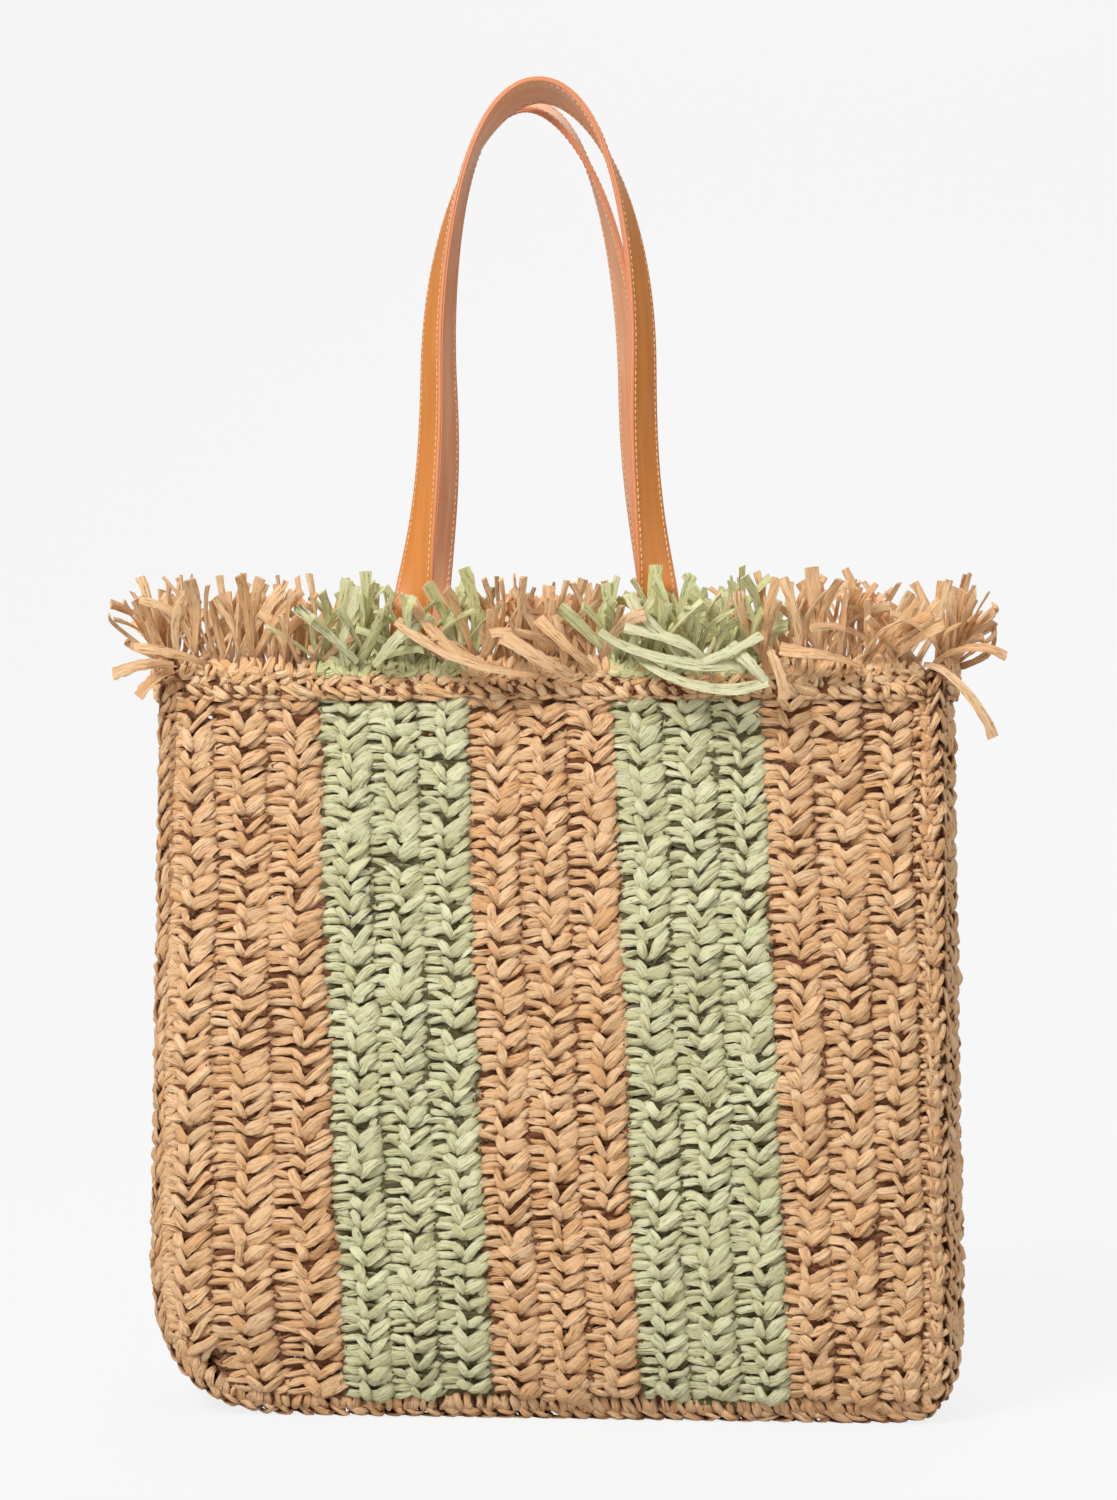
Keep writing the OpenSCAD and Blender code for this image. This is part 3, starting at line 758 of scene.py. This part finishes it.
leg_gap = 0.124             # between the middles of a handle's two roots
strap_w = 0.020
knot = [
    ([(-3.4, 1.2, -0.6), (-1.4, 3.6, -2.4), (1.4, 3.6, -2.4), (3.4, 1.2, -0.6)], 3.6, 2.6),
    ([(-1.8, 3.0, -4.2), (-1.9, 3.8, -0.6), (-1.4, 2.6, 2.6), (-0.8, 0.6, 5.6)], 3.7, 2.4),
    ([(1.8, 3.0, -4.2), (1.9, 3.8, -0.6), (1.4, 2.6, 2.6), (0.8, 0.6, 5.6)], 3.7, 2.4),
]
up = np.array([0, 0, 1.0])


def knots(root, out, side):
    """The loops of straw round the rim at each root."""
    blocks = []
    for points, width, thick in knot:
        p = np.array(points) + seed.normal(0, 0.7, (len(root), 4, 3))
        p[..., 0] += seed.normal(0, 0.5, (len(root), 1)) * (p[..., 2] - 1)
        loop = side[:, None] * p[..., :1] + out[:, None] * p[..., 1:2] + up * p[..., 2:]
        wide = width / 1000 * seed.normal(1, 0.2, len(root))
        blocks.append(ribbons(root[:, None] + loop / 1000, out + 0.3 * up, wide, thick / 1000, loose=True))
    return blocks


def strands(root, out, side, lean, rings=11):
    """Loose ends of straw that grow from each root: a start direction, then a bend on the way up."""
    n = len(root)
    lean_out = np.radians(seed.normal(lean, lean_spread[0], n))
    lean_side = np.radians(seed.normal(0, lean_spread[1], n))
    bend_out = np.radians(seed.normal(bend_out_more, bend_spread[0], n))
    bend_side = np.radians(seed.normal(0, bend_spread[1], n))
    step = seed.uniform(*strand_length, n) / 4
    place = [root + side * seed.normal(0, 0.0012, (n, 1)) + out * seed.normal(0, 0.0012, (n, 1))]
    for s in (0.0, 0.33, 0.67, 1.0):
        a, b = lean_out + bend_out * s, lean_side + bend_side * s
        d = out * np.sin(a)[:, None] + side * np.sin(b)[:, None]
        d[:, 2] += np.cos(a) * np.cos(b)
        place.append(place[-1] + d / np.linalg.norm(d, axis=1, keepdims=True) * step[:, None])
    yaw = seed.uniform(-1.1, 1.1, n)[:, None]
    facing = out * np.cos(yaw) + side * np.sin(yaw)
    points = np.stack(place, axis=1)
    points = np.clip(points, (-fringe_side, -fringe_out, 0), (fringe_side, fringe_out, 1))
    reach = np.sum(points * out[:, None], axis=2, keepdims=True)
    points += out[:, None] * np.clip(strap_clear - reach, 0, None)
    width = seed.uniform(0.0029, 0.0058, n)
    shape = 0.50 + 0.55 * np.linspace(0, 1, rings) ** 0.8
    thick = seed.uniform(0.0011, 0.0018, n)
    # Painted shade: each loose end is darker low down, among the knots
    shade_depth = (0.3, 0.65, 1.0, 1.0, 1.0)
    return ribbons(points, facing, width, thick, rings, 8, shape, 0.5, 0.38, shade_depth, loose=True)


def fringe_piece(name, colour, root, out, side, lean, nodes):
    """The knots and ends of straw at some roots, as one piece."""
    blocks = knots(root, out, side)
    again = np.repeat(np.arange(len(root)), ends_per_knot)
    blocks.append(strands(root[again], out[again], side[again], lean))
    material, slot = ends[colour]
    return add_piece(ribbon_mesh(name, blocks), material, "bag", slot, *nodes)


def near_strap(x):
    """Which roots stand in the way of a strap when its handle folds down."""
    return np.abs(np.abs(x - handle_x) - leg_gap / 2) < strap_w * 0.8


edges = [-rim_reach, *[line + stripe_shift for line in stripe_lines], rim_reach]
for face in ("front", "back"):
    y_sign = -1 if face == "front" else 1
    for k, name in enumerate(stripe_names):
        count = round((edges[k + 1] - edges[k]) / knot_pitch)
        x = edges[k] + (np.arange(count) + 0.5) * (edges[k + 1] - edges[k]) / count
        x += seed.normal(0, 0.0007, count)
        outer = panel_y(x, np.full_like(x, rim_top)) + rim_proud
        root = np.stack([x, y_sign * (outer - root_depth), np.full_like(x, rim_top + 0.001)], axis=1)
        out = np.tile([0.0, y_sign, 0.0], (count, 1))
        side = np.tile([1.0, 0.0, 0.0], (count, 1))
        crossed = near_strap(x)
        colour = name.split("_")[0]
        piece = f"fringe_{face}_{name}_straw"
        free = [v[~crossed] for v in (root, out, side)]
        fringe_piece(piece, colour, *free, long_side_lean, [f"fringe_{face}_{name}"])
        if crossed.any():
            pressed = [v[crossed] for v in (root, out, side)]
            soft = fringe_piece(piece + "_by_strap", colour, *pressed, long_side_lean, [])
            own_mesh(soft)

for sign, name, lean in ((-1, "left", 5), (1, "right", 14)):
    count = round(2 * gusset_half / knot_pitch)
    v = (np.arange(count) + 0.5) / count * 2 - 1
    outer = side_x(rim_top) + gusset_out(np.array(rim_top)) * (1 - v * v) + rim_proud
    root = np.stack([sign * (outer - root_depth), v * gusset_half, np.full_like(v, rim_top + 0.001)], axis=1)
    out = np.tile([float(sign), 0.0, 0.0], (count, 1))
    side = np.tile([0.0, 1.0, 0.0], (count, 1))
    fringe_piece(f"fringe_{name}_straw", "tan", root, out, side, lean, [f"fringe_{name}"])

# Some longer ends lie across their neighbours, on the front: colour, width in mm, and points in mm
long_ends = [
    ("green", 5.6, [(-92, -52, 368), (-104, -60, 380), (-113, -62, 388), (-120, -62, 394)]),
    ("green", 5.4, [(-98, -52, 366), (-98, -58, 380), (-94, -60, 392), (-92, -60, 404)]),
    ("green", 6.0, [(-84, -54, 366), (-76, -61, 374), (-69, -63, 381), (-60, -62, 388)]),
    ("tan", 6.2, [(-3, -54, 361), (-24, -62, 363), (-48, -64, 371), (-72, -63, 387)]),
    ("tan", 5.4, [(-15, -54, 362), (-34, -61, 368), (-50, -63, 378), (-64, -62, 397)]),
    ("tan", 7.4, [(13, -54, 361), (2, -62, 366), (-10, -64, 373), (-21, -63, 379)]),
    ("tan", 5.8, [(22, -53, 364), (14, -60, 371), (5, -62, 379), (-4, -60, 388)]),
    ("tan", 5.6, [(8, -52, 366), (6, -58, 380), (2, -60, 394), (1, -60, 404)]),
    ("green", 5.6, [(40, -54, 374), (58, -64, 361), (82, -67, 354), (106, -66, 358)]),
    ("green", 5.4, [(106, -66, 357), (101, -67, 363), (96, -66, 368), (89, -62, 376)]),
    ("green", 5.2, [(26, -62, 382), (45, -64, 372), (72, -66, 366), (98, -60, 367)]),
    ("green", 5.6, [(58, -55, 362), (72, -64, 366), (88, -66, 372), (103, -64, 380)]),
    ("green", 5.6, [(80, -56, 362), (72, -63, 372), (58, -65, 379), (38, -62, 384)]),
    ("green", 5.0, [(66, -56, 364), (60, -63, 376), (48, -65, 388), (40, -60, 400)]),
    ("tan", 5.0, [(107, -54, 362), (104, -60, 378), (107, -62, 394), (111, -60, 407)]),
    ("tan", 5.0, [(120, -54, 364), (121, -60, 380), (118, -62, 394), (113, -60, 407)]),
    ("tan", 5.6, [(106, -58, 374), (109, -65, 367), (112, -67, 358), (113, -67, 349)]),
    ("tan", 5.8, [(150, -52, 365), (138, -61, 369), (126, -63, 371), (112, -62, 373)]),
    ("tan", 4.8, [(181, -44, 366), (194, -50, 360), (206, -52, 346), (214, -50, 331)]),
    ("tan", 5.2, [(186, -42, 367), (198, -48, 373), (209, -50, 374), (220, -48, 370)]),
    ("tan", 6.0, [(-184, -44, 366), (-194, -50, 367), (-204, -50, 365), (-213, -48, 362)]),
    ("tan", 5.0, [(-184, -44, 364), (-190, -50, 361), (-195, -51, 357), (-200, -50, 351)]),
]
for colour in ("tan", "green"):
    own = [(width, points) for shade, width, points in long_ends if shade == colour]
    points = np.array([p for _, p in own]) / 1000
    facing = np.tile([0.0, -1.0, 0.35], (len(own), 1))
    wide = np.array([w for w, _ in own]) / 1000
    shape = 0.65 + 0.45 * np.linspace(0, 1, 15) ** 0.8
    block = ribbons(points, facing, wide, 0.0013, 15, 8, shape, 0.22, 0.35, loose=True)
    material, slot = straws[colour]
    add_piece(ribbon_mesh(f"fringe_long_ends_{colour}", [block]), material, "bag", slot)


# ---- Handles ----
# Each handle is a strap of smooth orange-tan leather, glued to a paler lining, partly its own colour and
# partly painted sheen, and sewn along both edges.
# Its cut edges are painted. It lies flat to the panel at its two ends and twists on the way up, until at the
# top of its arch its leather faces up and a little in over the bag.
strap_half = strap_w / 2
strap_t = 0.00295
strap_y = half_depth + 0.0001
root_z = rim_top + 0.002
handle_rise = 0.2895        # from the rim to the top of the front handle
arch_half = 0.052           # half the width of an arch
arch_h = 0.137
arch_tip = 25               # degrees a strap tips at the top of its arch
slow_turn = 62              # of its turn up to there, the degrees spread over its height
handle_lean = 0.027         # a handle leans in at the top
back_drop = 0.003           # the back handle is lower, narrower, and leans to the left
back_narrow = 0.0045
back_sway = 0.008
apex_z = rim_top + handle_rise - strap_t / 2
twist_low = rim_top + 0.029   # the twist starts here
stitch_in = 0.0022            # rows of thread are this far in from the edges


def unit(v):
    """Directions scaled to length 1."""
    return v / np.linalg.norm(v, axis=1, keepdims=True)


def run_length(line):
    """Distance along a line of points to each of them."""
    return np.concatenate([[0], np.cumsum(np.linalg.norm(np.diff(line, axis=0), axis=1))])


def strap_frames(face):
    """Points along the middle of a handle from one root over the arch to the other, the direction along it
    there, and the side that its leather faces."""
    drop, narrow, sway = (0.0, 0.0, 0.0) if face == "front" else (back_drop, back_narrow, back_sway)
    top, half = apex_z - drop, arch_half - narrow
    spring = top - arch_h
    z = np.linspace(root_z, spring, 200)
    left_to_go = 1 - (z - root_z) / (spring - root_z)
    x = -half - (leg_gap / 2 - half) * left_to_go ** 3 * (4 - 3 * left_to_go)
    a = np.linspace(math.pi, 0, 300)[1:-1]
    x = np.concatenate([x, half * np.cos(a), -x[::-1]])
    z = np.concatenate([z, spring + arch_h * np.sin(a), z[::-1]])
    rise = (z - root_z) / (top - root_z)
    points = np.stack([x + sway * rise, -strap_y + handle_lean * rise, z], axis=1)
    line = by_length([points], 281)[0]
    along = unit(np.gradient(line, axis=0))
    flat_out = unit(np.stack([-along[:, 2], np.zeros(len(line)), along[:, 0]], axis=1))
    side = unit(np.cross(along, flat_out))
    t = np.clip((line[:, 2] - twist_low) / (top - twist_low), 0, 1)
    turn = np.radians((90 + arch_tip - slow_turn) * (1 - t) ** 10 + slow_turn * (1 - t ** 4) - arch_tip)
    normal = flat_out * np.cos(turn)[:, None] + side * np.sin(turn)[:, None]
    if face == "back":
        line, along, normal = [v * (-1, -1, 1) for v in (line, along, normal)]
    return line + (handle_x, 0, 0), along, normal


# Half of a layer's outline, from the middle of its face out to its edge: across and out, in mm
layer_half = [(0, 1.50), (4, 1.49), (6.6, 1.47), (7.3, 1.42), (7.8, 1.28), (8.3, 1.42), (8.9, 1.45),
              (9.4, 1.36), (9.8, 1.05), (10.0, 0.60), (10.0, 0.03)]
layer_outline = np.array(layer_half[::-1][:-1] + [(-a, o) for a, o in layer_half]) / 1000


def strap_layer(line, along, normal, sign, half=1.0):
    """The leather (1) or the lining (-1) of a strap, as one closed band. half is a share of its width."""
    outline = layer_outline if sign > 0 else layer_outline[::-1] * (1, -1)
    across = np.cross(normal, along) * np.broadcast_to(half, len(line))[:, None]
    place = line[:, None] + across[:, None] * outline[:, :1] + normal[:, None] * outline[:, 1:]
    turn = np.arccos(np.clip(outline[:, 0] / strap_half, -1, 1))
    wide = np.full((1, 1), strap_half)
    return {"place": place[None], "turn": turn, "wide": wide, "shade_depth": 1.0, "apart": 0}


def leather(name, face, light, edge, rough):
    """Smooth leather with fine pores and a faint lengthwise cloudiness. Its cut edge is painted."""
    made, shader, start = new_material(name, Specular_IOR_Level=0.45)
    spot = start.node("Attribute", {"attribute_name": "fibre"}, out=1)
    across = start.node("SeparateXYZ", Vector=spot)
    cloud = start.node("TexNoise", Vector=spot, Scale=0.22, Detail=3.0)
    pores = start.node("TexVoronoi", {"feature": "F1"}, Vector=spot, Scale=2.4)
    grain = start.node("TexNoise", Vector=spot, Scale=1.8, Detail=5.0, Roughness=0.7)
    colour = cloud.step(0.30, 0.75).mix(face, light)
    colour = (grain.step(0.42, 0.28) * 0.25).mix(colour, face)
    painted = start.node("Math", {"operation": "ABSOLUTE"}, i0=across).step(9.05, 9.55)
    painted.mix(colour, edge).into(shader, "Base Color")
    (rough + grain * 0.16 - painted * 0.06).into(shader, "Roughness")
    height = (pores * 0.5 + grain) * (1 - painted * 0.7)
    start.node("Bump", Height=height, Strength=0.22, Distance=0.0003).into(shader, "Normal")
    return made


orange_leather = leather("orange_leather",
                         rgb(214, 131, 56), rgb(224, 143, 68), rgb(228, 146, 102), 0.34)
# The lining is paler than the leather, partly in its own colour and partly as painted sheen: the white that
# the glossy lining reflects at a slant
pale_lining = leather("pale_lining",
                      rgb(228, 160, 116), rgb(238, 182, 146), rgb(230, 148, 104), 0.30)


def sewing_thread():
    """Waxed thread: a tight twist that catches the light."""
    made, shader, start = new_material("sewing_thread", Specular_IOR_Level=0.4)
    fibre = start.node("Attribute", {"attribute_name": "fibre"}, out=1)
    strand = start.node("TexNoise", Vector=fibre, Scale=4.0, Detail=2.0)
    strand.step(0.35, 0.65).mix(rgb(222, 168, 116), rgb(246, 212, 172)).into(shader, "Base Color")
    (0.62 - strand * 0.2).into(shader, "Roughness")
    start.node("Bump", Height=strand, Strength=0.5, Distance=0.0002).into(shader, "Normal")
    return made


thread = sewing_thread()
thread_pitch = 0.0032
thread_stitch = 0.0025      # length of the thread that shows in each stitch
thread_w = 0.00075


def sewn_row(line, along, normal, across_by, out_by, first=0.003):
    """Separate stitches along a band, at a place across it and off its middle."""
    s = run_length(line)
    middle = np.arange(first, s[-1] - first, thread_pitch)
    edge = line + np.cross(normal, along) * across_by + normal * out_by
    points = []
    for shift, rise in ((-0.5, -0.0003), (-0.2, 0.0001), (0.2, 0.0001), (0.5, -0.0003)):
        at = middle + shift * thread_stitch
        off = edge + normal * rise * np.sign(out_by)
        points.append(np.stack([np.interp(at, s, off[:, c]) for c in range(3)], axis=1))
    face = np.stack([np.interp(middle, s, normal[:, c]) for c in range(3)], axis=1)
    shape = 0.6 + 0.4 * np.sin(math.pi * np.linspace(0, 1, 5))
    return ribbons(np.stack(points, axis=1), face, thread_w, thread_w, 5, 6, shape, 0, 0.08)


edge_at = strap_half - stitch_in
face_at = strap_t / 2 - 0.0001
for face in ("front", "back"):
    band = strap_frames(face)
    body = f"{face}_handle"
    rows = [sewn_row(*band, a, o) for a in (-edge_at, edge_at) for o in (face_at, -face_at)]
    made = [
        (f"{body}_leather_strap", [strap_layer(*band, 1)], orange_leather, "leather", f"{body}_leather"),
        (f"{body}_lining_strap", [strap_layer(*band, -1)], pale_lining, "lining", f"{body}_lining"),
        (f"{body}_thread", rows, thread, "thread", f"{body}_stitching"),
    ]
    for name, blocks, material, slot, node in made:
        piece = add_piece(ribbon_mesh(name, blocks, smooth=True), material, None, slot, node)
        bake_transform(piece)


# ---- Strap ends ----
# The last few centimetres of each strap go down inside the rim and are sewn flat to the panel with a box
# of stitches.
end_corner = 0.004          # radius of a strap end's corners


def end_band(low, high):
    """A straight band down the middle of a strap end, and how it narrows to its rounded foot."""
    share = np.concatenate([np.linspace(0, 0.9, 12), np.linspace(0.91, 1, 14)])
    z = high.z + 0.0004 - share * (high.z - low.z)
    middle = (low + high) / 2
    line = np.stack([np.full_like(z, middle.x), np.full_like(z, middle.y), z], axis=1)
    along = np.tile([0.0, 0.0, -1.0], (len(z), 1))
    normal = np.tile([0.0, math.copysign(1, middle.y), 0.0], (len(z), 1))
    foot = np.clip((z - low.z) / end_corner, 0, 1)
    return (line, along, normal), 1 - end_corner / strap_half * (1 - np.sqrt(1 - (1 - foot) ** 2))


for node in [f"{face}_{side}" for face in ("front", "back") for side in ("left", "right")]:
    band, half = end_band(*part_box(f"{node}_strap_end"))
    outer = ribbon_mesh(f"{node}_strap_end_leather", [strap_layer(*band, 1, half)], smooth=True)
    add_piece(outer, orange_leather, "bag", "leather", f"{node}_strap_end")
    inner = ribbon_mesh(f"{node}_strap_end_lining", [strap_layer(*band, -1, half)], smooth=True)
    add_piece(inner, pale_lining, "bag", "lining")
    low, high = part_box(f"{node}_end_stitching")
    normal = band[2][:1].repeat(20, axis=0)
    corners = [(low.x, low.z), (high.x, low.z), (high.x, high.z), (low.x, high.z), (low.x, low.z)]
    rows = []
    for (x0, z0), (x1, z1) in zip(corners, corners[1:]):
        steps = np.linspace(0, 1, 20)
        run = np.stack([x0 + (x1 - x0) * steps, np.full(20, band[0][0][1]), z0 + (z1 - z0) * steps], axis=1)
        rows.append(sewn_row(run, unit(np.gradient(run, axis=0)), normal, 0, -face_at, 0.0015))
    add_piece(ribbon_mesh(f"{node}_end_thread", rows, smooth=True), thread, "bag", "thread",
              f"{node}_end_stitching")
